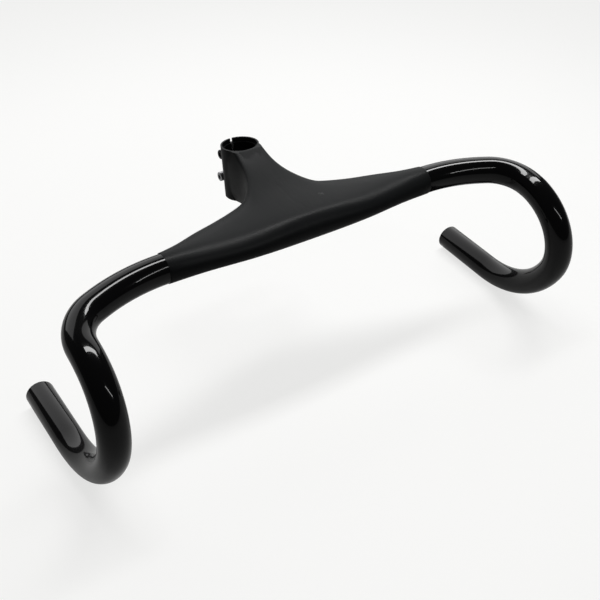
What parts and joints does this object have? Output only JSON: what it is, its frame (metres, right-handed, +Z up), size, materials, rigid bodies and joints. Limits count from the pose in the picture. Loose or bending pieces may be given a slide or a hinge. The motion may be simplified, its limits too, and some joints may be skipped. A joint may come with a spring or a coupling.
{
  "type": "integrated handlebar stem",
  "caption": "One-piece drop handlebar and stem, moulded hollow, with a split steerer clamp, cross bolts and aero tops.",
  "frame": {"origin": "middle of the steerer clamp, on its axis and half way up", "axes": "+X to the rider's right, -Y forwards, +Z up; it rests on its two drop ends"},
  "size_m": [0.4752, 0.2317, 0.1679],
  "materials": {
    "carbon": "matte lacquer on the tops and stem, gloss on the grips",
    "black_steel": "black oxide",
    "bare_steel": "bright",
    "washer_steel": "dull",
    "insert_alloy": "satin"
  },
  "bodies": {
    "root": {"handlebar_stem": "carbon", "clamp_bolt_upper": "black_steel", "clamp_bolt_lower": "bare_steel", "bolt_washer_upper": "washer_steel", "bolt_washer_lower": "washer_steel", "thread_insert_upper": "insert_alloy", "thread_insert_lower": "insert_alloy"}
  },
  "joints": []
}
